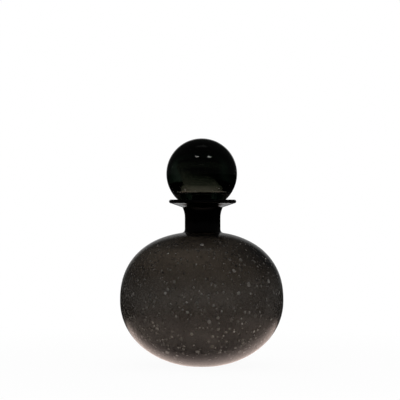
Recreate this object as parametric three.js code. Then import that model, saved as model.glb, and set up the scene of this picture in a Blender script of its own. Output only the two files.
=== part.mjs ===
// Round glass carafe with a ball stopper, in millimetres, +Z up.
// The origin is the middle of the foot, on the surface that the carafe stands on.

import * as THREE from 'three';

// Driving dimensions of the bulb
const BULB_DIAMETER = 142;
const BULB_CENTRE_HEIGHT = 56.3; // foot to the widest ring
const BULB_RISE = 60; // widest ring to the crown, where the neck grows out
const BULB_WALL = 3.5;
const BASE_THICKNESS = 4; // glass above the punt
const SHOULDER_FULLNESS = 2.29; // exponent of the rounding above the widest ring
const BELLY_FULLNESS = 2.05; // exponent of the rounding below it

// Driving dimensions of the foot
const FOOT_DIAMETER = 32;
const FOOT_RING_WIDTH = 7; // flat ring round the ground punt
const PUNT_DEPTH = 2;

// Driving dimensions of the neck and the lip
const NECK_HEIGHT = 27.8; // crown of the bulb to the top of the lip
const NECK_WALL = 4; // glass round the wide end of the bore
const SHOULDER_FILLET = 3; // neck into bulb, outside
const THROAT_FILLET = 3.5; // bore into bulb, inside
const FLARE_HEIGHT = 9; // stretch over which the neck widens below the lip
const FLARE_SPREAD = 2; // how much its radius grows there
const LIP_BORDER = 7.8; // flat top of the lip, round the ball's seat
const LIP_THICKNESS = 3.3; // at the rounded edge
const SEAT_WALL = 3.6; // glass between the ball's seat and the underside of the lip

// Driving dimensions of the stopper's ball
const BALL_DIAMETER = 61.5;
const BALL_SINK = 8.3; // lowest point of the ball below the top of the lip
const BALL_FLOOR = 14.2; // solid glass under the air bubble
const BUBBLE_DIAMETER = 28; // air bubble in the thick glass
const BUBBLE_RISE = 11; // middle of the ball to the top of the bubble

// Driving dimensions of the stopper's peg
const PEG_DIAMETER = 22.4; // at its wide end, under the ball
const PEG_LENGTH = 25; // from that end down
const PEG_TAPER = 0.05; // loss of radius for each unit of length
const PEG_END_ROUNDING = 2;
const PEG_SHOULDER = 1.7; // ledge round the tenon that fills the ball's socket
const TENON_DOME = 1.4; // rounded top that stands into the bubble

// Clearance between pieces that touch
const CLEARANCE = 0.3;

// Facets round the axis and along each stretch of a profile
const TURN_STEPS = 40;
const BULB_STEPS = 14;
const HOLLOW_STEPS = 10;
const BALL_STEPS = 18;
const VAULT_STEPS = 6;
const SEAT_STEPS = 5;
const CORNER_STEPS = 4;

// Finishes
const SMOKE_GLASS = { color: 0x36302c, roughness: 0.05, metalness: 0 };
const DARK_GLASS = { color: 0x14160f, roughness: 0.05, metalness: 0 };
const GROUND_GLASS = { color: 0x1c1b18, roughness: 0.45, metalness: 0 };

// Places that follow from the driving dimensions
const BULB_RADIUS = BULB_DIAMETER / 2;
const FOOT_RADIUS = FOOT_DIAMETER / 2;
const LIP_TOP = BULB_CENTRE_HEIGHT + BULB_RISE + NECK_HEIGHT;
const BALL_RADIUS = BALL_DIAMETER / 2;
const BALL_BOTTOM = LIP_TOP - BALL_SINK;
const BALL_CENTRE = BALL_BOTTOM + BALL_RADIUS;
const BUBBLE_RADIUS = BUBBLE_DIAMETER / 2;
const BUBBLE_FLOOR = BALL_BOTTOM + BALL_FLOOR;
const SEAT_RADIUS = BALL_RADIUS + CLEARANCE;
const SEAT_RIM_ANGLE = Math.acos((BALL_CENTRE - LIP_TOP) / SEAT_RADIUS);
const LIP_RADIUS = SEAT_RADIUS * Math.sin(SEAT_RIM_ANGLE) + LIP_BORDER;
const PEG_RADIUS = PEG_DIAMETER / 2;
const TENON_RADIUS = PEG_RADIUS - PEG_SHOULDER;
const SOCKET_RADIUS = TENON_RADIUS + CLEARANCE;

// Underside of a sphere about the ball's centre, at a distance from the axis
function underBall(sphereRadius, radius) {
  return BALL_CENTRE - Math.sqrt(sphereRadius ** 2 - radius ** 2);
}

// The peg's cone, and the bore, which is the same cone moved out by the clearance
const PEG_TOP = underBall(SEAT_RADIUS, PEG_RADIUS);
const PEG_BOTTOM = PEG_TOP - PEG_LENGTH;
const BORE_OFFSET = CLEARANCE * Math.hypot(1, PEG_TAPER);

function pegRadiusAt(height) {
  return PEG_RADIUS - PEG_TAPER * (PEG_TOP - height);
}

function boreRadiusAt(height) {
  return pegRadiusAt(height) + BORE_OFFSET;
}

const BORE_TOP_RADIUS = boreRadiusAt(PEG_TOP);
const NECK_RADIUS = BORE_TOP_RADIUS + NECK_WALL;

// A quarter of a rounded bulb outline: (radius / a) ^ n + (height / b) ^ n = 1
function quarterOutline(a, b, n) {
  const heightAt = (radius) => b * (1 - (radius / a) ** n) ** (1 / n);
  const slopeAt = (radius) => {
    const reach = (radius / a) ** n;
    return -(b / radius) * reach * (1 - reach) ** (1 / n - 1);
  };
  // Points from the widest ring to a given distance from the axis
  const pointsTo = (radius, steps) => {
    const lastAngle = Math.acos((radius / a) ** (n / 2));
    return Array.from({ length: steps + 1 }, (_, i) => {
      const angle = (lastAngle * i) / steps;
      return new THREE.Vector2(a * Math.cos(angle) ** (2 / n), b * Math.sin(angle) ** (2 / n));
    });
  };
  return { heightAt, slopeAt, pointsTo };
}

// Points of a quarter outline, set above or below the height of the widest ring
function raised(points) {
  return points.map((point) => new THREE.Vector2(point.x, BULB_CENTRE_HEIGHT + point.y));
}

function lowered(points) {
  return points.map((point) => new THREE.Vector2(point.x, BULB_CENTRE_HEIGHT - point.y));
}

// Curve from the wall of the neck, downwards, into the top of a bulb outline
function bulbFillet(outline, wallRadiusAt, size) {
  const crown = BULB_CENTRE_HEIGHT + outline.heightAt(wallRadiusAt(LIP_TOP));
  const joinRadius = wallRadiusAt(crown) + size;
  const join = new THREE.Vector2(joinRadius, BULB_CENTRE_HEIGHT + outline.heightAt(joinRadius));
  const cornerHeight = join.y - outline.slopeAt(joinRadius) * size;
  const corner = new THREE.Vector2(wallRadiusAt(cornerHeight), cornerHeight);
  const startHeight = cornerHeight + size;
  const start = new THREE.Vector2(wallRadiusAt(startHeight), startHeight);
  return new THREE.QuadraticBezierCurve(start, corner, join).getPoints(CORNER_STEPS);
}

// Arc of a sphere about the ball's centre; angles are counted from straight down
function ballArc(sphereRadius, fromAngle, toAngle, steps) {
  return Array.from({ length: steps + 1 }, (_, i) => {
    const angle = fromAngle + ((toAngle - fromAngle) * i) / steps;
    return new THREE.Vector2(
      sphereRadius * Math.sin(angle),
      BALL_CENTRE - sphereRadius * Math.cos(angle),
    );
  });
}

// Piece of glass turned about Z; its profile runs up the outside and down the inside
function turnedGlass(name, profile, finish) {
  const points = profile.filter((point, i) => i === 0 || !point.equals(profile[i - 1]));
  const geometry = new THREE.LatheGeometry(points, TURN_STEPS).rotateX(Math.PI / 2);
  const mesh = new THREE.Mesh(geometry, new THREE.MeshStandardMaterial(finish));
  mesh.name = name;
  return mesh;
}

// Ground punt, from the axis out to the flat ring of the foot
function puntProfile() {
  const puntRadius = FOOT_RADIUS - FOOT_RING_WIDTH;
  const punt = new THREE.QuadraticBezierCurve(
    new THREE.Vector2(0, PUNT_DEPTH),
    new THREE.Vector2(puntRadius / 2, PUNT_DEPTH),
    new THREE.Vector2(puntRadius, 0),
  );
  return punt.getPoints(CORNER_STEPS);
}

// Outside of the bulb, from the edge of the foot up to the neck
function bulbOutside() {
  const footCut = quarterOutline(BULB_RADIUS, 1, BELLY_FULLNESS).heightAt(FOOT_RADIUS);
  const belly = quarterOutline(BULB_RADIUS, BULB_CENTRE_HEIGHT / footCut, BELLY_FULLNESS);
  const shoulder = quarterOutline(BULB_RADIUS, BULB_RISE, SHOULDER_FULLNESS);
  const fillet = bulbFillet(shoulder, () => NECK_RADIUS, SHOULDER_FILLET).reverse();
  return [
    ...lowered(belly.pointsTo(FOOT_RADIUS, BULB_STEPS)).reverse(),
    ...raised(shoulder.pointsTo(fillet[0].x, BULB_STEPS)),
    ...fillet,
  ];
}

// Flared top of the neck, underside of the lip and its rounded edge
function lipOutside() {
  const cornerRadius = NECK_RADIUS + FLARE_SPREAD;
  const cornerHeight = underBall(SEAT_RADIUS, cornerRadius) - SEAT_WALL;
  const flare = new THREE.QuadraticBezierCurve(
    new THREE.Vector2(NECK_RADIUS, cornerHeight - FLARE_HEIGHT),
    new THREE.Vector2(NECK_RADIUS, cornerHeight - FLARE_HEIGHT / 2),
    new THREE.Vector2(cornerRadius, cornerHeight),
  );
  const rounding = LIP_THICKNESS / 2;
  const edge = new THREE.Path();
  edge.absarc(LIP_RADIUS - rounding, LIP_TOP - rounding, rounding, -Math.PI / 2, Math.PI / 2);
  return [...flare.getPoints(CORNER_STEPS), ...edge.getPoints(CORNER_STEPS)];
}

// Seat for the ball, tapered bore and inside of the bulb, down to the axis
function bottleInside() {
  const boreTopAngle = Math.asin(BORE_TOP_RADIUS / SEAT_RADIUS);
  const hollowRadius = BULB_RADIUS - BULB_WALL;
  const hollowRise = BULB_RISE - BULB_WALL;
  const hollowDrop = BULB_CENTRE_HEIGHT - PUNT_DEPTH - BASE_THICKNESS;
  const upper = quarterOutline(hollowRadius, hollowRise, SHOULDER_FULLNESS);
  const lower = quarterOutline(hollowRadius, hollowDrop, BELLY_FULLNESS);
  const throat = bulbFillet(upper, boreRadiusAt, THROAT_FILLET);
  return [
    ...ballArc(SEAT_RADIUS, SEAT_RIM_ANGLE, boreTopAngle, SEAT_STEPS),
    ...throat,
    ...raised(upper.pointsTo(throat.at(-1).x, HOLLOW_STEPS)).reverse(),
    ...lowered(lower.pointsTo(0, HOLLOW_STEPS)),
  ];
}

// Ball: outside from the socket up to the crown, then the air bubble and the socket
function ballProfile() {
  const socketAngle = Math.asin(SOCKET_RADIUS / BALL_RADIUS);
  const vault = new THREE.Path();
  vault.absellipse(0, BALL_CENTRE, BUBBLE_RADIUS, BUBBLE_RISE, Math.PI / 2, 0, true);
  const floorEdge = (BUBBLE_RADIUS + SOCKET_RADIUS) / 2;
  const bowl = new THREE.CubicBezierCurve(
    new THREE.Vector2(BUBBLE_RADIUS, BALL_CENTRE),
    new THREE.Vector2(BUBBLE_RADIUS, (BALL_CENTRE + BUBBLE_FLOOR) / 2),
    new THREE.Vector2(BUBBLE_RADIUS, BUBBLE_FLOOR),
    new THREE.Vector2(floorEdge, BUBBLE_FLOOR),
  );
  return [
    ...ballArc(BALL_RADIUS, socketAngle, Math.PI, BALL_STEPS),
    ...vault.getPoints(VAULT_STEPS),
    ...bowl.getPoints(VAULT_STEPS),
    new THREE.Vector2(SOCKET_RADIUS, BUBBLE_FLOOR),
    new THREE.Vector2(SOCKET_RADIUS, underBall(BALL_RADIUS, SOCKET_RADIUS)),
  ];
}

// Ground peg, from its rounded lower end up to the domed top of its tenon
function pegProfile() {
  const endTop = PEG_BOTTOM + PEG_END_ROUNDING;
  const end = new THREE.QuadraticBezierCurve(
    new THREE.Vector2(pegRadiusAt(PEG_BOTTOM) - PEG_END_ROUNDING, PEG_BOTTOM),
    new THREE.Vector2(pegRadiusAt(PEG_BOTTOM), PEG_BOTTOM),
    new THREE.Vector2(pegRadiusAt(endTop), endTop),
  );
  const shoulderOuter = Math.asin(PEG_RADIUS / SEAT_RADIUS);
  const shoulderInner = Math.asin(TENON_RADIUS / SEAT_RADIUS);
  const dome = new THREE.QuadraticBezierCurve(
    new THREE.Vector2(TENON_RADIUS, BUBBLE_FLOOR),
    new THREE.Vector2(TENON_RADIUS / 2, BUBBLE_FLOOR + TENON_DOME),
    new THREE.Vector2(0, BUBBLE_FLOOR + TENON_DOME),
  );
  return [
    new THREE.Vector2(0, PEG_BOTTOM),
    ...end.getPoints(CORNER_STEPS),
    ...ballArc(SEAT_RADIUS, shoulderOuter, shoulderInner, 1),
    ...dome.getPoints(CORNER_STEPS),
  ];
}

function bottleProfile() {
  return [...puntProfile(), ...bulbOutside(), ...lipOutside(), ...bottleInside()];
}

const stopper = new THREE.Group();
stopper.add(turnedGlass('stopper_ball', ballProfile(), DARK_GLASS));
stopper.add(turnedGlass('stopper_peg', pegProfile(), GROUND_GLASS));

const carafe = new THREE.Group();
carafe.add(turnedGlass('bottle', bottleProfile(), SMOKE_GLASS), stopper);

export default carafe;
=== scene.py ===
"""Looks of a round smoke glass carafe with a heavy ball stopper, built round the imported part.

Sizes in the dataclasses are in millimetres, in the part's own frame: +Z is up and the middle of
the foot is the origin. Meshes are written in metres.
"""

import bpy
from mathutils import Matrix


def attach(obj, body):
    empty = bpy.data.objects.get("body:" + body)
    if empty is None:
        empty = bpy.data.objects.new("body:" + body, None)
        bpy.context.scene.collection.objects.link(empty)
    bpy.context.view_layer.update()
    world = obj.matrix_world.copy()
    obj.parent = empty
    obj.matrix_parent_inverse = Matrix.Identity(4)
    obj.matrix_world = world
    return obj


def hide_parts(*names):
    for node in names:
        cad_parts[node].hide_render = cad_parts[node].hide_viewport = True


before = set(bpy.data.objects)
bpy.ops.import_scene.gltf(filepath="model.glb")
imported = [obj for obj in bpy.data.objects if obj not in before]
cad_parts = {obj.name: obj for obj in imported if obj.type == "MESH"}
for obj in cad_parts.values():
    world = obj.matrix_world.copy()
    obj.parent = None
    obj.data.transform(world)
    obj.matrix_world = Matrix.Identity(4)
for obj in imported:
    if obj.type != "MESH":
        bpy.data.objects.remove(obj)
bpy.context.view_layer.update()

import logging
import math
from dataclasses import dataclass
from enum import Enum
from functools import reduce

import bpy
import numpy as np
from mathutils import Matrix

Socket = bpy.types.NodeSocket
Input = Socket | float | tuple[float, ...] | np.ndarray
Pair = tuple[float, float]
Triple = tuple[float, float, float]
Point = Band = Pair
Colour = Triple

LOG = logging.getLogger("carafe")
MM = 0.001
SEED_ATTRIBUTE = "seed"
SKIN_ATTRIBUTE = "skin"
SHARP_DEGREES = 40.0
SAME_POINT = 0.01
TINY = 1e-9
GLASS_IOR = 1.5
WHITE: Colour = (1.0, 1.0, 1.0)


class Body(Enum):
    """Bodies of the part that pieces ride on."""

    BOTTLE = "bottle"
    STOPPER = "stopper"


class Slot(Enum):
    """Material slots of the record."""

    SMOKE = "smoke_glass"
    STOPPER = "stopper_glass"
    GROUND = "ground_glass"


class Half(Enum):
    """Halves of the bulb, above and below its widest ring."""

    SHOULDER = 1
    BELLY = -1


# Profiles and courses


@dataclass(frozen=True)
class QuarterOutline:
    """A quarter of a rounded outline: (radius / reach)^n + (rise / height)^n = 1.

    Attributes:
        reach: Largest distance from the axis.
        height: Rise from the widest ring to the axis.
        n: Fullness of the rounding; 2 is an ellipse.
    """

    reach: float
    height: float
    n: float

    def at_angle(self, angle: np.ndarray) -> np.ndarray:
        """Points (radius, rise) at angles from the widest ring, 0, to the axis, a right angle.

        Radius is reach * cos(angle)^(2/n) and rise is height * sin(angle)^(2/n).

        Args:
            angle: Angles in radians.

        Returns:
            Array of points, one row each.
        """
        cos, sin = (np.clip(turn(angle), 0.0, 1.0) ** (2 / self.n) for turn in (np.cos, np.sin))
        return np.stack([self.reach * cos, self.height * sin], axis=-1)

    def rise(self, radius: float) -> float:
        """Rise of the outline at a distance from the axis."""
        return self.height * (1 - (radius / self.reach) ** self.n) ** (1 / self.n)

    def slope(self, radius: float) -> float:
        """Change of rise for each unit of radius."""
        reach = (radius / self.reach) ** self.n
        return -(self.height / radius) * reach * (1 - reach) ** (1 / self.n - 1)

    def end_angle(self, radius: float) -> float:
        """Angle at which the outline is at a distance from the axis."""
        return math.acos((radius / self.reach) ** (self.n / 2))


@dataclass(frozen=True)
class Course:
    """A value that changes along straight stretches.

    Attributes:
        places: Where the value is given, in rising order.
        values: The value at each place.
    """

    places: tuple[float, ...]
    values: tuple[float, ...]

    def at(self, place: np.ndarray) -> np.ndarray:
        """Values at given places, level beyond both ends."""
        return np.interp(place, self.places, self.values)


def eased(value: np.ndarray, low: float, high: float) -> np.ndarray:
    """Smooth step from 0 at low to 1 at high: t^2 (3 - 2t), with t the share of the way."""
    t = np.clip((value - low) / (high - low), 0.0, 1.0)
    return t * t * (3 - 2 * t)


def bell(value: np.ndarray, middle: float, spread: float) -> np.ndarray:
    """Bell that is 1 in the middle: e^-((value - middle) / spread)^2."""
    return np.exp(-(((value - middle) / spread) ** 2))


def bezier(start: Point, middle: Point, end: Point, steps: int) -> np.ndarray:
    """Quadratic curve: (1-t)^2 start + 2t(1-t) middle + t^2 end, with t from 0 to 1.

    Args:
        start: First point (radius, height).
        middle: Point that the curve is drawn towards.
        end: Last point.
        steps: Number of stretches.

    Returns:
        Array of steps + 1 points.
    """
    t = np.linspace(0.0, 1.0, steps + 1)[:, None]
    a, b, c = (np.asarray(p, float) for p in (start, middle, end))
    return (1 - t) ** 2 * a + 2 * t * (1 - t) * b + t**2 * c


def line(start: Point, end: Point, steps: int) -> np.ndarray:
    """Straight stretch of a profile, split into equal steps."""
    return np.linspace(np.asarray(start, float), np.asarray(end, float), steps + 1)


def arc(centre: Point, radius: float, start: float, end: float, steps: int) -> np.ndarray:
    """Arc about a centre, with angles counted from straight out, away from the axis.

    Args:
        centre: Point (radius, height).
        radius: Radius of the arc.
        start: First angle in radians.
        end: Last angle in radians.
        steps: Number of stretches.

    Returns:
        Array of steps + 1 points.
    """
    angle = np.linspace(start, end, steps + 1)
    return np.asarray(centre, float) + radius * np.stack([np.cos(angle), np.sin(angle)], axis=-1)


def joined(*stretches: np.ndarray) -> np.ndarray:
    """One profile from stretches laid end to end, without points that repeat.

    Args:
        *stretches: Arrays of points in order.

    Returns:
        Array of points, each at least a hundredth of a millimetre from the one before.
    """
    points = np.concatenate(stretches)
    step = np.linalg.norm(np.diff(points, axis=0), axis=1)
    return points[np.concatenate([[True], step > SAME_POINT])]


# Turned surfaces


def turned_grid(radius: np.ndarray, height: np.ndarray, turns: int) -> np.ndarray:
    """Surface swept by a profile about Z: (r cos a, r sin a, z) on a grid of profile and angle.

    Args:
        radius: Radii, one for each profile point, or a grid of them.
        height: Heights in the same shape.
        turns: Number of steps round the axis.

    Returns:
        Array of shape (profile, turns, 3).
    """
    angle = np.linspace(0.0, 2 * np.pi, turns, endpoint=False)
    r, z = (np.broadcast_to(v.reshape(len(v), -1), (len(v), turns)) for v in (radius, height))
    return np.stack([r * np.cos(angle), r * np.sin(angle), z], axis=-1)


def ring_quads(rows: int, turns: int) -> np.ndarray:
    """Faces from each ring to the next one, where ring k has vertices k * turns and on.

    Args:
        rows: Number of rings that faces start from.
        turns: Number of steps round the axis.

    Returns:
        Array of shape (rows, turns, 4).
    """
    here = np.arange(turns)
    after = (here + 1) % turns
    low = np.arange(rows)[:, None] * turns
    high = low + turns
    return np.stack([low + here, low + after, high + after, high + here], axis=-1)


def fan(first: int, pole: int, turns: int, closing: bool) -> np.ndarray:
    """Triangles between a ring and a pole.

    Args:
        first: First vertex of the ring.
        pole: Vertex of the pole.
        turns: Number of steps round the axis.
        closing: True where the pole follows the ring in the profile, False where it comes first.

    Returns:
        Array of shape (turns, 3).
    """
    here = np.arange(turns)
    ring, after, tip = first + here, first + (here + 1) % turns, np.full(turns, pole)
    return np.stack([ring, after, tip] if closing else [tip, after, ring], axis=-1)


@dataclass
class MeshParts:
    """Vertices and faces of one piece, gathered before it becomes a mesh.

    Attributes:
        points: Vertices in millimetres.
        quads: Faces of four corners.
        triangles: Faces of three corners.
        seed: Share of light that a seed's wall scatters, 0 elsewhere, one value for each vertex.
        skin: 1 on the outside of the piece, 0 elsewhere, one value for each vertex.
    """

    points: np.ndarray
    quads: np.ndarray
    triangles: np.ndarray
    seed: np.ndarray
    skin: np.ndarray

    def plus(self, other: "MeshParts") -> "MeshParts":
        """Both sets of faces as one piece, where the other's vertices follow these.

        Args:
            other: The set that is added.

        Returns:
            A new set.
        """
        shift = len(self.points)
        return MeshParts(
            np.concatenate([self.points, other.points]),
            np.concatenate([self.quads, other.quads + shift]),
            np.concatenate([self.triangles, other.triangles + shift]),
            np.concatenate([self.seed, other.seed]),
            np.concatenate([self.skin, other.skin]),
        )

    def as_object(self, name: str) -> bpy.types.Object:
        """Blender object at the origin, in metres, smooth but for its sharp edges.

        Args:
            name: Name of the piece.

        Returns:
            The new object, linked to the scene.
        """
        mesh = bpy.data.meshes.new(name)
        mesh.from_pydata(self.points * MM, [], self.quads.tolist() + self.triangles.tolist())
        mesh.polygons.foreach_set("use_smooth", np.ones(len(mesh.polygons), bool))
        for mark, values in ((SEED_ATTRIBUTE, self.seed), (SKIN_ATTRIBUTE, self.skin)):
            layer = mesh.attributes.new(mark, "FLOAT", "POINT")
            layer.data.foreach_set("value", values.astype(np.float32))
        mesh.update()
        mesh.set_sharp_from_angle(angle=math.radians(SHARP_DEGREES))
        piece = bpy.data.objects.new(name, mesh)
        bpy.context.scene.collection.objects.link(piece)
        return piece


def turned_parts(grid: np.ndarray, outside: int = 0) -> MeshParts:
    """Closed turned piece from a grid whose first and last rows lie on the axis.

    The vertices are the first pole, the rings in order, and the last pole. A profile that runs up
    the outside and down the inside gives faces that point out of the glass.

    Args:
        grid: Array of shape (profile, turns, 3).
        outside: Number of rows, from the first, that are the outside of the piece.

    Returns:
        Its vertices and faces.
    """
    rings, turns = grid[1:-1], grid.shape[1]
    points = np.concatenate([grid[0, :1], rings.reshape(-1, 3), grid[-1, :1]])
    last = len(points) - 1
    quads = 1 + ring_quads(len(rings) - 1, turns).reshape(-1, 4)
    fans = np.concatenate([fan(1, 0, turns, False), fan(last - turns, last, turns, True)])
    skin = np.arange(len(points)) < 1 + (outside - 1) * turns
    return MeshParts(points, quads, fans, np.zeros(len(points)), skin.astype(float))


# Seed bubbles


def apart(centres: np.ndarray, reach: np.ndarray) -> np.ndarray:
    """Marks the bubbles that keep clear of every bubble before them in the list.

    Args:
        centres: Array (count, 3).
        reach: Largest half size of each bubble.

    Returns:
        True where the bubble stays.
    """
    distance = np.linalg.norm(centres[:, None] - centres[None], axis=-1)
    touching = distance < 1.05 * (reach[:, None] + reach[None])
    return ~np.tril(touching, -1).any(axis=1)


@dataclass(frozen=True)
class SeedBubbles:
    """Small closed bubbles in the glass: ellipsoids whose walls face into the bubble.

    Attributes:
        segments: Steps round each bubble.
        bands: Steps from pole to pole.
    """

    segments: int = 7
    bands: int = 4

    def pattern(self) -> MeshParts:
        """Unit sphere turned about its third axis from the top down, so that it is inside out."""
        polar = np.linspace(0.0, np.pi, self.bands + 1)
        return turned_parts(turned_grid(np.sin(polar), np.cos(polar), self.segments))

    def at(self, centres: np.ndarray, axes: np.ndarray, scatter: np.ndarray) -> MeshParts:
        """Bubbles at given places, without those that touch one before them.

        A vertex is centre + x * first axis + y * second axis + z * third axis, where (x, y, z)
        lies on the unit sphere and the axes carry the bubble's half sizes. The second axis is
        turned round where the three would mirror the sphere.

        Args:
            centres: Array (count, 3).
            axes: Array (count, 3, 3), one scaled axis a row, the longest last.
            scatter: Share of light that each bubble's wall scatters.

        Returns:
            All bubbles as one set of faces.
        """
        keep = apart(centres, np.linalg.norm(axes[:, 2], axis=1))
        centres, axes, scatter = centres[keep], axes[keep], scatter[keep]
        axes[:, 1] *= np.sign(np.linalg.det(axes))[:, None]
        unit = self.pattern()
        size = len(unit.points)
        shift = size * np.arange(len(centres))[:, None, None]
        placed = centres[:, None, :] + np.einsum("pk,nkd->npd", unit.points, axes)
        return MeshParts(
            placed.reshape(-1, 3),
            (unit.quads[None] + shift).reshape(-1, 4),
            (unit.triangles[None] + shift).reshape(-1, 3),
            np.repeat(scatter, size),
            np.zeros(len(centres) * size),
        )


# Glass finishes


class NodeSketch:
    """Adds nodes to one node tree and joins their sockets."""

    def __init__(self, tree: bpy.types.NodeTree) -> None:
        """Starts with an empty tree."""
        self.tree = tree
        tree.nodes.clear()

    def feed(self, socket: Socket, value: Input) -> None:
        """Links a socket to an output, or sets its constant.

        Args:
            socket: Input of a node.
            value: Output of another node, or a constant.
        """
        if isinstance(value, Socket):
            self.tree.links.new(value, socket)
        else:
            socket.default_value = value

    def add(self, kind: str, inputs: dict | None = None, **settings: object) -> bpy.types.Node:
        """New node with its settings and inputs.

        Args:
            kind: Blender's name of the node type.
            inputs: Constants or outputs by socket name or number.
            **settings: Properties of the node.

        Returns:
            The node.
        """
        node = self.tree.nodes.new(kind)
        for name, value in settings.items():
            setattr(node, name, value)
        for name, value in (inputs or {}).items():
            self.feed(node.inputs[name], value)
        return node

    def math(self, operation: str, a: Input, b: Input = 0.0, c: Input = 0.0) -> Socket:
        """Result of a math node on up to three values."""
        return self.add("ShaderNodeMath", {0: a, 1: b, 2: c}, operation=operation).outputs[0]

    def product(self, *values: Input) -> Socket:
        """Product of two or more values."""
        return reduce(lambda a, b: self.math("MULTIPLY", a, b), values)

    def largest(self, *values: Input) -> Socket:
        """Largest of two or more values."""
        return reduce(lambda a, b: self.math("MAXIMUM", a, b), values)

    def axes(self, vector: Socket) -> bpy.types.bpy_prop_collection:
        """Outputs X, Y and Z of a vector."""
        return self.add("ShaderNodeSeparateXYZ", {0: vector}).outputs

    def smooth(
        self, value: Input, low: float, high: float, at_low: float = 0.0, at_high: float = 1.0
    ) -> Socket:
        """Smooth step: at_low + (at_high - at_low) t^2 (3 - 2t), with t the share of the way.

        Args:
            value: Value that decides.
            low: Value where the step begins.
            high: Value where it ends.
            at_low: Result at and below low.
            at_high: Result at and above high.

        Returns:
            Result output.
        """
        ends = {"From Min": low, "From Max": high, "To Min": at_low, "To Max": at_high}
        node = self.add(
            "ShaderNodeMapRange", {"Value": value, **ends}, interpolation_type="SMOOTHSTEP"
        )
        return node.outputs["Result"]

    def noise(
        self, vector: Socket, scale: float, detail: float = 2.0, rough: float = 0.5
    ) -> Socket:
        """Value of a noise texture, about 0.5 on average."""
        grain = {"Scale": scale, "Detail": detail, "Roughness": rough}
        return self.add("ShaderNodeTexNoise", {"Vector": vector, **grain}).outputs["Fac"]

    def between(self, share: Input, a: Input, b: Input) -> Socket:
        """Value between two values: (1 - share) a + share b.

        Args:
            share: Share of b.
            a: Value at share 0.
            b: Value at share 1.

        Returns:
            Value output.
        """
        node = self.add("ShaderNodeMix", data_type="FLOAT")
        for socket, value in zip(node.inputs[:1] + node.inputs[2:4], (share, a, b)):
            self.feed(socket, value)
        return node.outputs[0]

    def mixed(self, share: Input, a: Input, b: Input) -> Socket:
        """Colour between two colours: (1 - share) a + share b.

        Args:
            share: Share of b.
            a: Colour at share 0, an output or red, green and blue.
            b: Colour at share 1, likewise.

        Returns:
            Colour output.
        """
        node = self.add("ShaderNodeMix", {0: share}, data_type="RGBA")
        for socket, colour in zip(node.inputs[6:8], (a, b)):
            self.feed(socket, colour if isinstance(colour, Socket) else (*colour, 1.0))
        return node.outputs[2]

    def mixed_shader(self, share: Input, a: bpy.types.Node, b: bpy.types.Node) -> bpy.types.Node:
        """Shader between a, at share 0, and b, at share 1."""
        return self.add("ShaderNodeMixShader", {0: share, 1: a.outputs[0], 2: b.outputs[0]})


@dataclass(frozen=True)
class Zones:
    """Bands of height, in millimetres, over which the glass of the carafe changes.

    Attributes:
        scuff: The standing ring is scuffed below it.
        foot: The haze thins out below it.
        belly_haze: The haze is thickest below it.
        warm: The tint is warmer below it.
        shoulder: The haze is thin above it, which paints shade on the upper shoulder.
        haze_end: The haze is gone above it.
        ground: The bore and the seat are ground above it.
        neck: The tint of the neck holds above it.
    """

    scuff: Band = (0.2, 0.6)
    foot: Band = (12.0, 29.0)
    belly_haze: Band = (24.0, 52.0)
    warm: Band = (30.0, 58.0)
    shoulder: Band = (62.0, 88.0)
    haze_end: Band = (105.0, 117.0)
    ground: Band = (111.0, 113.0)
    neck: Band = (112.0, 119.0)


@dataclass(frozen=True)
class GlassFinish:
    """Tinted glass: a clear surface over a body that takes up light along its whole depth.

    Attributes:
        name: Name of the material.
        slot: Slot of the record that it belongs to; not used.
        tint: Share of light that the surface lets through, red, green and blue.
        absorption: Loss of light for each millimetre of glass, red, green and blue.
        warmth: Change of the tint low in the belly.
        neck_tint: Share of the tint that is left where the glass of the neck is thickest.
        haze: Share of light that the finest seeds scatter in the bulb's wall.
        belly_haze: Haze low in the belly, as a multiple.
        foot_haze: Haze near the foot, as a share.
        shoulder_haze_painted_shade: Haze on the shoulder, as a share; its thinness is painted
            shade.
        seed_forward: Share of a seed's scattered light that goes on rather than back.
        seed_tone: Colour of that light, cool enough to look white through the glass over it.
        polish: Roughness of the fire-polished surface.
        scuff: Roughness of the worn standing ring.
        bore_grit: Roughness of the ground bore and seat.
        grit: Roughness that grinding adds all over.
        waviness: Depth of the surface's slow waves, in millimetres.
        tooth: Depth of the marks of grinding, in millimetres.
        density: Density of the absorbing body; its colour carries the loss of light.
        zones: Bands of height over which these values change.
    """

    name: str
    slot: Slot
    tint: Colour
    absorption: Colour
    warmth: Colour = (1.06, 0.96, 0.88)
    neck_tint: float = 1.0
    haze: float = 0.0
    belly_haze: float = 1.95
    foot_haze: float = 0.5
    # Thin haze on the shoulder is painted shade that darkens it.
    shoulder_haze_painted_shade: float = 0.3
    seed_forward: float = 0.42
    seed_tone: Colour = (0.94, 0.97, 1.0)
    polish: float = 0.02
    scuff: float = 0.25
    bore_grit: float = 0.0
    grit: float = 0.0
    waviness: float = 0.05
    tooth: float = 0.06
    density: float = 1000.0
    zones: Zones = Zones()

    def material(self) -> bpy.types.Material:
        """Procedural material of this glass.

        Returns:
            A new material with a surface and an absorbing volume.
        """
        material = bpy.data.materials.new(self.name)
        material.use_nodes = True
        GlassNodes(material.node_tree, self).draw()
        return material


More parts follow.
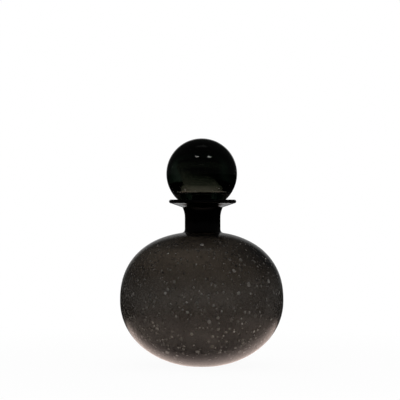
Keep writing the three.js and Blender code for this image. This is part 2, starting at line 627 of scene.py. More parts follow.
class GlassNodes(NodeSketch):
    """Node tree of one glass.

    Attributes:
        finish: Values of the glass.
        place: Object coordinates.
        height: Height above the foot, in metres.
        scatter: Share of light that a seed's wall scatters.
        seed: 1 on the walls of seeds, 0 on the walls of the piece.
        wall: The other way round.
    """

    def __init__(self, tree: bpy.types.NodeTree, finish: GlassFinish) -> None:
        """Starts a tree with the outputs that its parts share.

        Args:
            tree: Node tree of the material.
            finish: Values of the glass.
        """
        super().__init__(tree)
        self.finish = finish
        self.place = self.add("ShaderNodeTexCoord").outputs["Object"]
        self.height = self.axes(self.place)["Z"]
        self.scatter = self.attribute(SEED_ATTRIBUTE)
        self.seed = self.math("GREATER_THAN", self.scatter, 0.001)
        self.wall = self.math("SUBTRACT", 1.0, self.seed)

    def attribute(self, name: str) -> Socket:
        """Value of one of the mesh's own attributes."""
        return self.add("ShaderNodeAttribute", attribute_name=name).outputs["Fac"]

    def over(self, band: Band, below: float, above: float) -> Socket:
        """Smooth step over a band of heights in millimetres."""
        return self.smooth(self.height, band[0] * MM, band[1] * MM, below, above)

    def draw(self) -> None:
        """Joins the clear surface, the milky walls of seeds and the absorbing body."""
        finish = self.finish
        surface = self.add(
            "ShaderNodeBsdfPrincipled",
            {
                "IOR": GLASS_IOR,
                "Base Color": self.colour(),
                "Roughness": self.roughness(),
                "Transmission Weight": self.clearness(),
                "Normal": self.relief(),
            },
        )
        tone = {"Color": (*finish.seed_tone, 1.0)}
        back = self.add("ShaderNodeBsdfDiffuse", tone)
        forth = self.add("ShaderNodeBsdfTranslucent", tone)
        milky = self.mixed_shader(finish.seed_forward, back, forth)
        whole = self.mixed_shader(self.scatter, surface, milky)
        shade = tuple(1 - loss / MM / finish.density for loss in finish.absorption)
        body = self.add(
            "ShaderNodeVolumeAbsorption", {"Color": (*shade, 1.0), "Density": finish.density}
        )
        ends = {"Surface": whole.outputs[0], "Volume": body.outputs[0]}
        self.add("ShaderNodeOutputMaterial", ends)

    def colour(self) -> Socket:
        """Tint with slow clouds, warmer low in the belly and deep at the neck; seeds are clear.

        Returns:
            Colour output.
        """
        finish, zones = self.finish, self.finish.zones
        tint = np.array(finish.tint)
        cloud = self.smooth(self.noise(self.place, 38.0, 3.0), 0.3, 0.7)
        tinted = self.mixed(cloud, 0.94 * tint, tint)
        tinted = self.mixed(self.over(zones.warm, 1.0, 0.0), tinted, tint * finish.warmth)
        tinted = self.mixed(self.over(zones.neck, 0.0, 1.0), tinted, tint * finish.neck_tint)
        return self.mixed(self.seed, tinted, WHITE)

    def roughness(self) -> Socket:
        """Polish with faint smears, the grit of ground glass, and scuffs on the standing ring.

        Returns:
            Roughness output.
        """
        finish, zones = self.finish, self.finish.zones
        smears = self.noise(self.place, 60.0, 4.0, 0.6)
        smear = self.smooth(smears, 0.45, 0.75, finish.polish, 2.2 * finish.polish)
        grains = self.noise(self.place, 2600.0, 1.0)
        grain = self.smooth(grains, 0.25, 0.75, 0.85 * finish.grit, finish.grit)
        scuff = self.over(zones.scuff, finish.scuff, 0.0)
        within = self.math("SUBTRACT", 1.0, self.attribute(SKIN_ATTRIBUTE))
        ground = self.product(self.over(zones.ground, 0.0, finish.bore_grit), within)
        return self.product(self.largest(smear, grain, scuff, ground), self.wall)

    def clearness(self) -> Socket:
        """Share of light that goes through: all but what the haze of the finest seeds scatters.

        The haze is a slow cloud, thickest low in the belly and thin on the shoulder and near the
        foot, and fades out at the neck. Its thinning on the shoulder is painted shade.

        Returns:
            Transmission output.
        """
        finish, zones = self.finish, self.finish.zones
        cloud = self.smooth(self.noise(self.place, 55.0, 3.0), 0.3, 0.7, 0.8, 1.2)
        veil = self.product(
            cloud,
            self.over(zones.belly_haze, finish.belly_haze * finish.haze, finish.haze),
            self.over(zones.foot, finish.foot_haze, 1.0),
            # Painted shade: less haze on the shoulder darkens it.
            self.over(zones.shoulder, 1.0, finish.shoulder_haze_painted_shade),
            self.over(zones.haze_end, 1.0, 0.0),
            self.wall,
        )
        return self.math("SUBTRACT", 1.0, veil)

    def relief(self) -> Socket:
        """Slow waves and drawn-out striae of blown glass, and the tooth of ground glass.

        Returns:
            Normal output.
        """
        drawn = self.add("ShaderNodeMapping", {"Vector": self.place, "Scale": (1.0, 1.0, 3.2)})
        wave = self.noise(self.place, 45.0, 1.0)
        striae = self.noise(drawn.outputs[0], 120.0, 2.0)
        slow = self.math("MULTIPLY_ADD", striae, 0.25, wave)
        depth = self.finish.waviness * MM
        marks = {"Strength": self.wall, "Distance": depth, "Height": slow}
        normal = self.add("ShaderNodeBump", marks).outputs[0]
        if self.finish.grit:
            tooth = self.noise(self.place, 3200.0, 2.0)
            marks = {"Strength": 0.5, "Distance": self.finish.tooth * MM, "Height": tooth}
            normal = self.add("ShaderNodeBump", {**marks, "Normal": normal}).outputs[0]
        return normal


SMOKE_GLASS = GlassFinish(
    name="smoke_seeded_glass",
    slot=Slot.SMOKE,
    tint=(0.83, 0.768, 0.706),
    absorption=(0.52, 0.535, 0.56),
    haze=0.035,
    neck_tint=0.45,
    bore_grit=0.5,
)
STOPPER_GLASS = GlassFinish(
    name="dark_smoke_glass",
    slot=Slot.STOPPER,
    tint=(0.79, 0.62, 0.55),
    absorption=(0.182, 0.156, 0.165),
    waviness=0.03,
)
GROUND_GLASS = GlassFinish(
    name="ground_smoke_glass",
    slot=Slot.GROUND,
    tint=(0.78, 0.75, 0.70),
    absorption=(0.47, 0.485, 0.51),
    grit=0.42,
)


def finished(
    piece: bpy.types.Object, finish: GlassFinish, body: Body, node: str
) -> bpy.types.Object:
    """Dresses a piece, puts it on its body and lets it stand for its node of the part.

    Args:
        piece: The new object.
        finish: Its glass.
        body: Body that it rides on.
        node: Node that it stands for.

    Returns:
        The same object.
    """
    piece.data.materials.append(finish.material())
    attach(piece, body.value)
    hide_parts(node)
    faces = len(piece.data.polygons)
    LOG.info("%s: %d faces, %s, rides on %s", piece.name, faces, finish.name, body.value)
    return piece


# Sub-assemblies


@dataclass
class Bottle:
    """Blown bottle: flattened bulb, short neck, flat flared lip, ground foot and hollow.

    Attributes are sizes in millimetres unless they are counts, exponents, shares, angles in
    radians or courses. The eases of the wall run over height and over radius. The courses of the
    seeds run over the rise from the widest ring: crowding is how densely they lie, burial their
    mean depth, milkiness the most light that they scatter, and clearing the exponent that spreads
    them between that and the least.
    """

    bulb_radius: float = 71.0
    bulb_centre: float = 56.3
    bulb_rise: float = 60.0
    bulb_wall: float = 3.5
    crown_wall: float = 2.7
    base_thickness: float = 4.0
    shoulder_fullness: float = 2.29
    belly_fullness: float = 2.05
    foot_radius: float = 16.0
    foot_ring: float = 7.0
    punt_depth: float = 2.0
    neck_radius: float = 15.5
    neck_fillet: float = 3.0
    throat_fillet: float = 3.5
    flare_height: float = 9.0
    flare_spread: float = 2.0
    lip_top: float = 144.1
    lip_radius: float = 29.25
    lip_thickness: float = 3.3
    seat_wall: float = 3.6
    seat_radius: float = 31.05
    seat_centre: float = 166.55
    bore_radius: float = 11.5
    bore_taper: float = 0.05
    heavy_wall: float = 2.4
    heavy_angle: float = 0.15
    heavy_width: float = 0.8
    heavy_middle: float = 97.0
    heavy_spread: float = 14.0
    thin_wall: float = 0.85
    thin_middle: float = 93.0
    thin_spread: float = 19.0
    throat_ease: Course = Course((100.0, 108.0), (1.0, 0.0))
    axis_ease: Course = Course((0.0, 20.0), (0.0, 1.0))
    neck_lean: float = 0.8
    lean_band: Band = (108.0, 118.0)
    rim_ease: float = 5.0
    turns: int = 168
    seed_count: int = 1560
    seed_half: float = 0.9
    seed_spread: float = 0.42
    seed_range: Band = (0.4, 2.0)
    seed_stretch: float = 0.35
    seed_flatness: float = 0.45
    flat_range: Band = (0.22, 0.6)
    seed_cover: float = 0.1
    seed_floor: float = 0.3
    seed_lean: float = 0.5
    seed_least: float = 0.05
    seed_edge: float = 24.0
    random_seed: int = 41
    crowding: Course = Course((-52.0, -47.0, -41.0, 0.0, 35.0), (0.1, 0.4, 1.5, 1.0, 1.25))
    burial: Course = Course((-45.0, -10.0, 30.0), (0.2, 0.5, 0.5))
    # Seeds are milkier low in the belly: partly painted light, which brightens them as light from
    # below would.
    milkiness: Course = Course((-25.0, 0.0, 30.0), (1.0, 0.6, 0.5))
    clearing: Course = Course((-30.0, 30.0), (0.3, 0.8))

    def outline(self, half: Half, inside: bool) -> QuarterOutline:
        """Outline of the bulb's outside or hollow, above or below the widest ring.

        Args:
            half: Which half.
            inside: True for the hollow.

        Returns:
            The quarter outline.
        """
        reach = self.bulb_radius - (self.bulb_wall if inside else 0.0)
        if half is Half.SHOULDER:
            crown = self.crown_wall if inside else 0.0
            return QuarterOutline(reach, self.bulb_rise - crown, self.shoulder_fullness)
        if inside:
            drop = self.bulb_centre - self.punt_depth - self.base_thickness
        else:
            share = QuarterOutline(reach, 1.0, self.belly_fullness).rise(self.foot_radius)
            drop = self.bulb_centre / share
        return QuarterOutline(reach, drop, self.belly_fullness)

    def under_seat(self, radius: float) -> float:
        """Height of the ball's seat at a distance from the axis."""
        return self.seat_centre - math.sqrt(self.seat_radius**2 - radius**2)

    def bore_at(self, height: float) -> float:
        """Radius of the tapered bore at a height."""
        top = self.under_seat(self.bore_radius)
        return self.bore_radius - self.bore_taper * (top - height)

    def outside(self) -> np.ndarray:
        """Profile of the outside, from the middle of the punt up to the rim of the seat.

        Returns:
            Array of points (radius, height).
        """
        punt = self.foot_radius - self.foot_ring
        belly, shoulder = self.outline(Half.BELLY, False), self.outline(Half.SHOULDER, False)
        below = belly.at_angle(np.linspace(belly.end_angle(self.foot_radius), 0.0, 78))
        neck, fillet = self.neck_radius, self.neck_fillet
        join = neck + fillet
        above = shoulder.at_angle(np.linspace(0.0, shoulder.end_angle(join), 78))
        join_height = self.bulb_centre + shoulder.rise(join)
        corner = join_height - shoulder.slope(join) * fillet
        flare = neck + self.flare_spread
        under_lip = self.under_seat(flare) - self.seat_wall
        flare_foot = under_lip - self.flare_height
        flare_pull = under_lip - self.flare_height / 2
        edge = self.lip_thickness / 2
        edge_radius, edge_height = self.lip_radius - edge, self.lip_top - edge
        rim = math.sqrt(self.seat_radius**2 - (self.seat_centre - self.lip_top) ** 2)
        return joined(
            bezier((0.0, self.punt_depth), (punt / 2, self.punt_depth), (punt, 0.0), 12),
            line((punt, 0.0), (self.foot_radius, 0.0), 4),
            below * [1, -1] + [0, self.bulb_centre],
            above + [0, self.bulb_centre],
            bezier((join, join_height), (neck, corner), (neck, corner + fillet), 16),
            bezier((neck, flare_foot), (neck, flare_pull), (flare, under_lip), 14),
            line((flare, under_lip), (edge_radius, edge_height - edge), 6),
            arc((edge_radius, edge_height), edge, -math.pi / 2, math.pi / 2, 14),
            line((edge_radius, self.lip_top), (rim, self.lip_top), 6),
        )

    def inside(self) -> tuple[np.ndarray, np.ndarray]:
        """Profiles of the seat with the bore, and of the hollow down to the axis.

        Returns:
            Two arrays of points (radius, height).
        """
        upper, lower = self.outline(Half.SHOULDER, True), self.outline(Half.BELLY, True)
        crown = self.bulb_centre + upper.rise(self.bore_at(self.lip_top))
        join = self.bore_at(crown) + self.throat_fillet
        join_height = self.bulb_centre + upper.rise(join)
        corner = join_height - upper.slope(join) * self.throat_fillet
        top = corner + self.throat_fillet
        rim = math.asin((self.seat_centre - self.lip_top) / self.seat_radius)
        bore = math.acos(self.bore_radius / self.seat_radius)
        bore_top = (self.bore_radius, self.under_seat(self.bore_radius))
        bore_end = (self.bore_at(top), top)
        seat = joined(
            arc((0.0, self.seat_centre), self.seat_radius, -rim, -bore, 14),
            line(bore_top, bore_end, 16),
            bezier(bore_end, (self.bore_at(corner), corner), (join, join_height), 14),
        )
        above = upper.at_angle(np.linspace(upper.end_angle(join), 0.0, 64))
        below = lower.at_angle(np.linspace(0.0, np.pi / 2, 64)) * [1, -1]
        return seat, joined(above + [0, self.bulb_centre], below + [0, self.bulb_centre])

    def thinning(self, height: np.ndarray) -> np.ndarray:
        """Glass missing from the inside of the shoulder at given heights: a bell over height."""
        return self.thin_wall * bell(height, self.thin_middle, self.thin_spread)

    def wall_swell(self, height: np.ndarray, angle: np.ndarray) -> np.ndarray:
        """Extra glass on the inside: ripples of blown glass, a thin shoulder and a heavy side.

        The heavy side is a bell over angle times one over height, and the ripples are products of
        sines of angle and height, a tenth of a millimetre deep.

        Args:
            height: Column of heights.
            angle: Row of angles.

        Returns:
            Grid of thicknesses.
        """
        turn = np.angle(np.exp(1j * (angle - self.heavy_angle)))
        heavy = self.heavy_wall * bell(turn, 0.0, self.heavy_width)
        heavy = heavy * bell(height, self.heavy_middle, self.heavy_spread)
        broad = 0.06 * np.cos(2 * angle + 1.3) * np.sin(height / 17)
        fine = 0.045 * np.cos(3 * angle - 0.4) * np.sin(height / 9 + 0.8)
        return heavy - self.thinning(height) + (broad + fine)

    def lean_share(self, outside: np.ndarray) -> np.ndarray:
        """Share of the neck's lean at each outside point: none on the bulb and at the seat's rim.

        Args:
            outside: Points (radius, height) up to the rim of the seat.

        Returns:
            Shares from 0 to 1, eased over the neck's foot and over the lip's flat top.
        """
        radius, height = outside.T
        on_top = height > self.lip_top - SAME_POINT
        from_rim = np.clip((radius - outside[-1, 0]) / self.rim_ease, 0.0, 1.0)
        return eased(height, *self.lean_band) * np.where(on_top, from_rim, 1.0)

    def glass(self) -> MeshParts:
        """Walls of the bottle as one closed turned surface.

        The inside of the hollow is moved in along the normal of the ellipsoid that fits the bulb,
        by the swell of the wall, which eases out at the throat and on the axis.

        Returns:
            Vertices and faces.
        """
        seat, hollow = self.inside()
        outside = self.outside()
        profile = joined(outside, seat, hollow)
        angle = np.linspace(0.0, 2 * np.pi, self.turns, endpoint=False)[None]
        radius, height = profile[:, :1], profile[:, 1:]
        rise = height - self.bulb_centre
        out = np.stack([radius / self.bulb_radius**2, rise / self.bulb_rise**2])
        out = out / np.maximum(np.linalg.norm(out, axis=0), TINY)
        in_hollow = (np.arange(len(profile)) >= len(profile) - len(hollow))[:, None]
        ease = self.throat_ease.at(height) * self.axis_ease.at(radius)
        swell = in_hollow * ease * self.wall_swell(height, angle)
        grid = turned_grid(radius - swell * out[0], height - swell * out[1], self.turns)
        grid[: len(outside), :, 0] += self.neck_lean * self.lean_share(outside)[:, None]
        return turned_parts(grid, len(outside))

    def wall_table(self) -> np.ndarray:
        """Outer and inner points of the bulb's wall, from near the foot to near the neck.

        Returns:
            Rows of outer radius and rise, inner radius and rise; rises are from the widest ring.
        """
        rows = []
        for half in (Half.BELLY, Half.SHOULDER):
            outer, inner = self.outline(half, False), self.outline(half, True)
            angle = np.linspace(0.0, 1.0, 240) * outer.end_angle(self.seed_edge)
            both = [shape.at_angle(angle) * [1, half.value] for shape in (outer, inner)]
            rows.append(np.concatenate(both, axis=-1)[:: half.value])
        return np.concatenate(rows)

    def seeds(self) -> MeshParts:
        """Seed bubbles all over the bulb's wall, flattened along it.

        A rise is drawn from the running sum of ring areas, weighted by the crowding, and an angle
        at random. Most seeds lie close under the skin and all stay in the wall; the higher they
        lie, the deeper and clearer they are.

        Returns:
            The bubbles' faces.
        """
        rng = np.random.default_rng(self.random_seed)
        count = self.seed_count
        table = self.wall_table()
        step = np.linalg.norm(np.diff(table[:, :2], axis=0), axis=1)
        ring = self.crowding.at(table[1:, 1]) * step * (table[1:, 0] + table[:-1, 0])
        area = np.concatenate([[0.0], np.cumsum(ring)])
        pick = rng.random(count) * area[-1]
        drawn = np.stack([np.interp(pick, area, column) for column in table.T], axis=-1)
        next_pick = pick + area[-1] * 1e-3
        ahead = np.stack([np.interp(next_pick, area, column) for column in table.T[:2]], axis=-1)
        outer, inner = drawn[:, :2], drawn[:, 2:]
        rise = outer[:, 1]
        size = np.exp(rng.normal(math.log(self.seed_half), self.seed_spread, count))
        half = np.clip(size, *self.seed_range)
        length = half * (1 + self.seed_stretch * rng.random(count) ** 2)
        flat = np.clip(self.seed_flatness * half, *self.flat_range)
        least = self.seed_least
        # Seeds scatter most low in the belly, partly as painted light from below.
        share = least + (1 - least) * rng.random(count) ** self.clearing.at(rise)
        wall = np.linalg.norm(outer - inner, axis=1)
        room = wall - self.thinning(rise + self.bulb_centre) - 2 * flat
        sunk = self.seed_cover + self.burial.at(rise) * rng.exponential(1.0, count)
        depth = flat + np.minimum(sunk, room - self.seed_floor)
        radius, height = (outer + (inner - outer) * (depth / wall)[:, None]).T
        angle = 2 * np.pi * rng.random(count)
        cos, sin, nought = np.cos(angle), np.sin(angle), np.zeros(count)
        along = ahead - outer
        along = along / np.maximum(np.linalg.norm(along, axis=1), TINY)[:, None]
        up = np.stack([along[:, 0] * cos, along[:, 0] * sin, along[:, 1]], axis=-1)
        side = np.stack([-sin, cos, nought], axis=-1)
        lean = rng.normal(0.0, self.seed_lean, count)[:, None]
        long_axis = np.cos(lean) * up + np.sin(lean) * side
        short_axis = np.cos(lean) * side - np.sin(lean) * up
        through = np.cross(long_axis, short_axis)
        sizes = np.stack([half, flat, length], axis=-1)[:, :, None]
        axes = np.stack([short_axis, through, long_axis], axis=1) * sizes
        centres = np.stack([radius * cos, radius * sin, height + self.bulb_centre], axis=-1)
        return SeedBubbles().at(centres, axes, self.milkiness.at(rise) * share)

    def build(self) -> bpy.types.Object:
        """Bottle with its seeds, dressed and on its body."""
        piece = self.glass().plus(self.seeds()).as_object("bottle_glass")
        return finished(piece, SMOKE_GLASS, Body.BOTTLE, "bottle")


@dataclass
class Stopper:
    """Heavy ball with an air bubble and a glass floor, on a ground peg.

    Attributes are sizes in millimetres unless they are counts, exponents or shares; the bands are
    rises above the bubble's floor. The bubble's depths are half its size along Y, at its floor, at
    its wall and in its vault.
    """

    ball_radius: float = 30.75
    ball_centre: float = 166.55
    socket_radius: float = 9.8
    bubble_radius: float = 22.0
    bubble_floor: float = 151.0
    bubble_top: float = 179.0
    bubble_corner: float = 1.0
    bubble_lean: float = 1.5
    lean_band: Band = (6.0, 18.0)
    floor_depth: float = 22.3
    wall_depth: float = 21.7
    vault_depth: float = 13.5
    ledge_band: Band = (6.5, 6.9)
    depth_band: Band = (6.9, 20.0)
    depth_power: float = 1.6
    bubble_squareness: float = 2.3
    wall_rise: float = 7.0
    vault_radius: float = 18.0
    vault_drop: float = 8.0
    floor_dome: float = 1.2
    tenon_radius: float = 9.5
    tenon_dome: float = 0.9
    clearance: float = 0.3
    peg_radius: float = 11.2
    peg_top: float = 137.59
    peg_length: float = 25.0
    peg_taper: float = 0.05
    peg_rounding: float = 2.0
    turns: int = 144
    seed_count: int = 30
    seed_band: Band = (-0.5, 6.0)
    seed_half: float = 0.34
    seed_spread: float = 0.35
    seed_range: Band = (0.18, 0.7)
    seed_stretch: float = 1.2
    seed_cover: float = 0.5
    seed_reach: float = 1.0
    seed_scatter: float = 0.8
    random_seed: int = 17

    def floor_at(self, radius: np.ndarray) -> np.ndarray:
        """Height of the bubble's floor: a low dome, highest on the axis."""
        return self.bubble_floor + self.floor_dome * (1 - (radius / self.bubble_radius) ** 2)

    def bubble(self) -> np.ndarray:
        """Profile of the bubble: vault, steep wall, and floor as far as the socket.

        Returns:
            Array of points (radius, height), from the top on the axis.
        """
        reach, vault, low, top = (
            self.bubble_radius, self.vault_radius, self.bubble_floor, self.bubble_top
        )
        vault_foot = (vault, top - self.vault_drop)
        wall_top = (0.93 * reach, low + self.wall_rise)
        wall_foot = (reach, low + 1.7)
        inner = reach - self.bubble_corner
        floor = np.linspace(inner, self.socket_radius, 14)
        return joined(
            bezier((0.0, top), (0.86 * vault, top), vault_foot, 14),
            bezier(vault_foot, (vault + 0.5, low + 10.5), wall_top, 30),
            line(wall_top, wall_foot, 6),
            bezier(wall_foot, (reach + 0.8, low + 0.3), (inner, self.floor_at(inner)), 8),
            np.stack([floor, self.floor_at(floor)], axis=-1),
        )

    def ball_glass(self) -> MeshParts:
        """Ball: sphere outside, then the bubble and the socket.

        Returns:
            Vertices and faces.
        """
        socket = math.asin(self.socket_radius / self.ball_radius)
        centre, quarter = (0.0, self.ball_centre), math.pi / 2
        sphere = arc(centre, self.ball_radius, socket - quarter, quarter, 96)
        bubble = self.bubble()
        socket_points = line(tuple(bubble[-1]), tuple(sphere[0]), 10)
        parts = self.ring_parts(joined(sphere, bubble, socket_points))
        from_centre = np.linalg.norm(parts.points - [0.0, 0.0, self.ball_centre], axis=1)
        within = from_centre < self.ball_radius - 1.0
        parts.points[within] = self.shaped(parts.points[within])
        return parts

    def shaped(self, points: np.ndarray) -> np.ndarray:
        """Round bubble made deeper along Y, squarer in plan and leaning to -X.

        In plan x is radius * |cos|^(2/n) and y is stretch * radius * |sin|^(2/n), each with its
        sign, and n falls to 2 over the depth band. The depth steps in over the ledge band and then
        shrinks by a power of the rise, down to the vault's. On the floor the change fades out
        towards the socket, which stays round.

        Args:
            points: Points of the bubble and the socket.

        Returns:
            The points moved.
        """
        x, y, z = points.T
        radius = np.maximum(np.hypot(x, y), TINY)
        rise = z - self.bubble_floor
        low, high = self.depth_band
        step = np.clip((rise - low) / (high - low), 0.0, 1.0)
        depth = Course(self.ledge_band, (self.floor_depth, self.wall_depth)).at(rise)
        depth = depth - (self.wall_depth - self.vault_depth) * step**self.depth_power
        below_vault = z < self.bubble_top - self.vault_drop
        wall_stretch = depth / np.maximum(radius, self.vault_radius)
        stretch = np.where(below_vault, wall_stretch, self.vault_depth / self.vault_radius)
        power = 2 / (self.bubble_squareness + (2 - self.bubble_squareness) * step)
        square_x = radius * np.sign(x) * np.abs(x / radius) ** power
        square_y = radius * stretch * np.sign(y) * np.abs(y / radius) ** power
        floor_width = self.bubble_radius - self.bubble_corner - self.socket_radius
        on_floor = np.clip((radius - self.socket_radius) / floor_width, 0.0, 1.0)
        share = np.where(rise > self.floor_dome + 0.1, 1.0, on_floor)
        lean = self.bubble_lean * eased(rise, *self.lean_band)
        return np.stack([x + share * (square_x - x) - lean, y + share * (square_y - y), z], axis=-1)

    def ring_parts(self, profile: np.ndarray) -> MeshParts:
        """Closed turned piece with a hole on its axis at the start of the profile.

        The profile meets itself there, so its last ring joins its first. Points that lie on the
        axis part it into an outside and an inside, each with a pole of its own.

        Args:
            profile: Points from the hole, over the axis, and back to the hole.

        Returns:
            Vertices and faces.
        """
        crown = int(np.argmin(profile[:, 0]))
        outer, inner = profile[:crown], profile[crown + 2 : -1]
        rings = np.concatenate([outer, inner])
        turns, start, total = self.turns, len(outer) * self.turns, len(rings) * self.turns
        grid = turned_grid(rings[:, 0], rings[:, 1], turns)
        poles = profile[crown : crown + 2, 1:] * [0.0, 0.0, 1.0]
        quads = ring_quads(len(rings), turns) % total
        quads = np.delete(quads, len(outer) - 1, axis=0).reshape(-1, 4)
        over, under = fan(start - turns, total, turns, True), fan(start, total + 1, turns, False)
        points = np.concatenate([grid.reshape(-1, 3), poles])
        nought = np.zeros(len(points))
        return MeshParts(points, quads, np.concatenate([over, under]), nought, nought)

    def ball_seeds(self) -> MeshParts:
        """A few seeds low in the ball, between its skin and its bubble.

        Returns:
            The bubbles' faces.
        """
        rng = np.random.default_rng(self.random_seed)
        count = self.seed_count
        low, high = self.seed_band
        height = self.bubble_floor + low + (high - low) * rng.random(count)
        angle = 2 * np.pi * rng.random(count)
        outer = np.sqrt(self.ball_radius**2 - (height - self.ball_centre) ** 2)
        size = np.exp(rng.normal(math.log(self.seed_half), self.seed_spread, count))
        half = np.clip(size, *self.seed_range)
        length = half * (1 + self.seed_stretch * rng.random(count))
        radius = outer - self.seed_cover - length - self.seed_reach * rng.random(count)
        cos, sin, nought = np.cos(angle), np.sin(angle), np.zeros(count)
        centres = np.stack([radius * cos, radius * sin, height], axis=-1)
        up = np.broadcast_to([0.0, 0.0, 1.0], (count, 3))
        out, side = np.stack([cos, sin, nought], -1), np.stack([-sin, cos, nought], -1)
        sizes = np.stack([half, half, length], axis=-1)[:, :, None]
        axes = np.stack([up, out, side], axis=1) * sizes
        return SeedBubbles().at(centres, axes, np.full(count, self.seed_scatter))

    def peg_glass(self) -> MeshParts:
        """Peg: rounded lower end, tapered ground side, shoulder under the ball, and domed tenon.

        Returns:
            Vertices and faces.
        """
        bottom = self.peg_top - self.peg_length
        low_radius = self.peg_radius - self.peg_taper * self.peg_length
        flat = (low_radius - self.peg_rounding, bottom)
        side = (low_radius + self.peg_taper * self.peg_rounding, bottom + self.peg_rounding)
        tenon = self.tenon_radius
        tenon_top = float(self.floor_at(tenon))
        dome = tenon_top + self.tenon_dome
        ball = self.ball_radius + self.clearance
        shoulder = self.ball_centre - math.sqrt(ball**2 - tenon**2)
        profile = joined(
            line((0.0, bottom), flat, 6),
            bezier(flat, (low_radius, bottom), side, 10),
            line(side, (self.peg_radius, self.peg_top), 14),
            line((tenon, shoulder), (tenon, tenon_top), 10),
            bezier((tenon, tenon_top), (tenon / 2, dome), (0.0, dome), 12),
        )
        return turned_parts(turned_grid(profile[:, 0], profile[:, 1], self.turns))

    def build(self) -> list[bpy.types.Object]:
        """Ball and peg, dressed and on their body.

        Returns:
            Both pieces.
        """
        ball = self.ball_glass().plus(self.ball_seeds()).as_object("stopper_ball_glass")
        peg = self.peg_glass().as_object("stopper_peg_glass")
        return [
            finished(ball, STOPPER_GLASS, Body.STOPPER, "stopper_ball"),
            finished(peg, GROUND_GLASS, Body.STOPPER, "stopper_peg"),
        ]


# Studio


class StageNodes(NodeSketch):
    """Node tree of the room or the floor, which tells apart how a ray has come.

    Attributes:
        ray: Outputs of the light path.
        mirrored: 1 for rays that a glossy surface has reflected.
    """

    def __init__(self, tree: bpy.types.NodeTree) -> None:
        """Starts a tree with the light path.

        Args:
            tree: Node tree of the world or of a material.
        """
        super().__init__(tree)
        self.ray = self.add("ShaderNodeLightPath").outputs
        self.mirrored = self.product(self.ray["Is Glossy Ray"], self.ray["Is Reflection Ray"])


@dataclass(frozen=True)
class Room:
    """Soft light from all sides; its bands are over parts of a direction's unit vector.

    Attributes:
        soft_level: Brightness of the light that falls on surfaces.
        dark_level: Brightness of the room in reflections.
        backdrop: Part along +Y over which the backdrop brightens in reflections.
        backdrop_rise: Part along +Z, as a share of the part across Y, over which it changes.
        backdrop_levels: Its brightness below and above that band.
        strip: Part along +Z over which a strip overhead brightens in reflections.
        strip_back: Part along +Y over which the strip sets in.
        strip_level: Brightness of the strip.
        ceiling: Part along +Z over which the white seen through glass darkens to the ceiling.
        ceiling_level: Brightness of the ceiling through glass.
    """

    soft_level: float = 0.8
    dark_level: float = 0.02
    backdrop: Band = (0.84, 0.98)
    backdrop_rise: Band = (-0.1, 0.7)
    backdrop_levels: Pair = (0.07, 0.24)
    strip: Band = (0.955, 0.975)
    strip_back: Band = (0.12, 0.2)
    strip_level: float = 0.14
    ceiling: Band = (0.5, 0.85)
    ceiling_level: float = 0.12

    def build(self) -> None:
        """World: white to the camera and through the glass below a dark ceiling, soft light on
        surfaces, and in reflections a dark room with a dim backdrop behind the object."""
        world = bpy.data.worlds.new("studio_room")
        bpy.context.scene.world = world
        world.use_nodes = True
        sketch = StageNodes(world.node_tree)
        way = sketch.axes(sketch.add("ShaderNodeTexCoord").outputs["Generated"])
        ceiling = sketch.smooth(way["Z"], *self.ceiling, 1.0, self.ceiling_level)
        level = sketch.between(sketch.mirrored, self.soft_level, self.reflected(sketch, way))
        level = sketch.between(sketch.ray["Is Transmission Ray"], level, ceiling)
        level = sketch.between(sketch.ray["Is Camera Ray"], level, 1.0)
        light = sketch.add("ShaderNodeBackground", {"Color": (*WHITE, 1.0), "Strength": level})
        sketch.add("ShaderNodeOutputWorld", {"Surface": light.outputs[0]})

    def reflected(self, sketch: StageNodes, way: bpy.types.bpy_prop_collection) -> Socket:
        """Brightness of the room in reflections.

        Args:
            sketch: Node tree of the world.
            way: Outputs X, Y and Z of the direction.

        Returns:
            Brightness, 1 for white.
        """
        across = sketch.math("MULTIPLY_ADD", way["Z"], way["Z"], sketch.product(way["X"], way["X"]))
        across = sketch.largest(sketch.math("SQRT", across), 1e-4)
        upward = sketch.math("DIVIDE", way["Z"], across)
        backdrop = sketch.product(
            sketch.smooth(way["Y"], *self.backdrop),
            sketch.smooth(upward, *self.backdrop_rise, *self.backdrop_levels),
        )
        strip = sketch.product(
            sketch.smooth(way["Z"], *self.strip),
            sketch.smooth(way["Y"], *self.strip_back, 0.0, self.strip_level),
        )
        return sketch.math("ADD", backdrop, sketch.math("ADD", strip, self.dark_level))


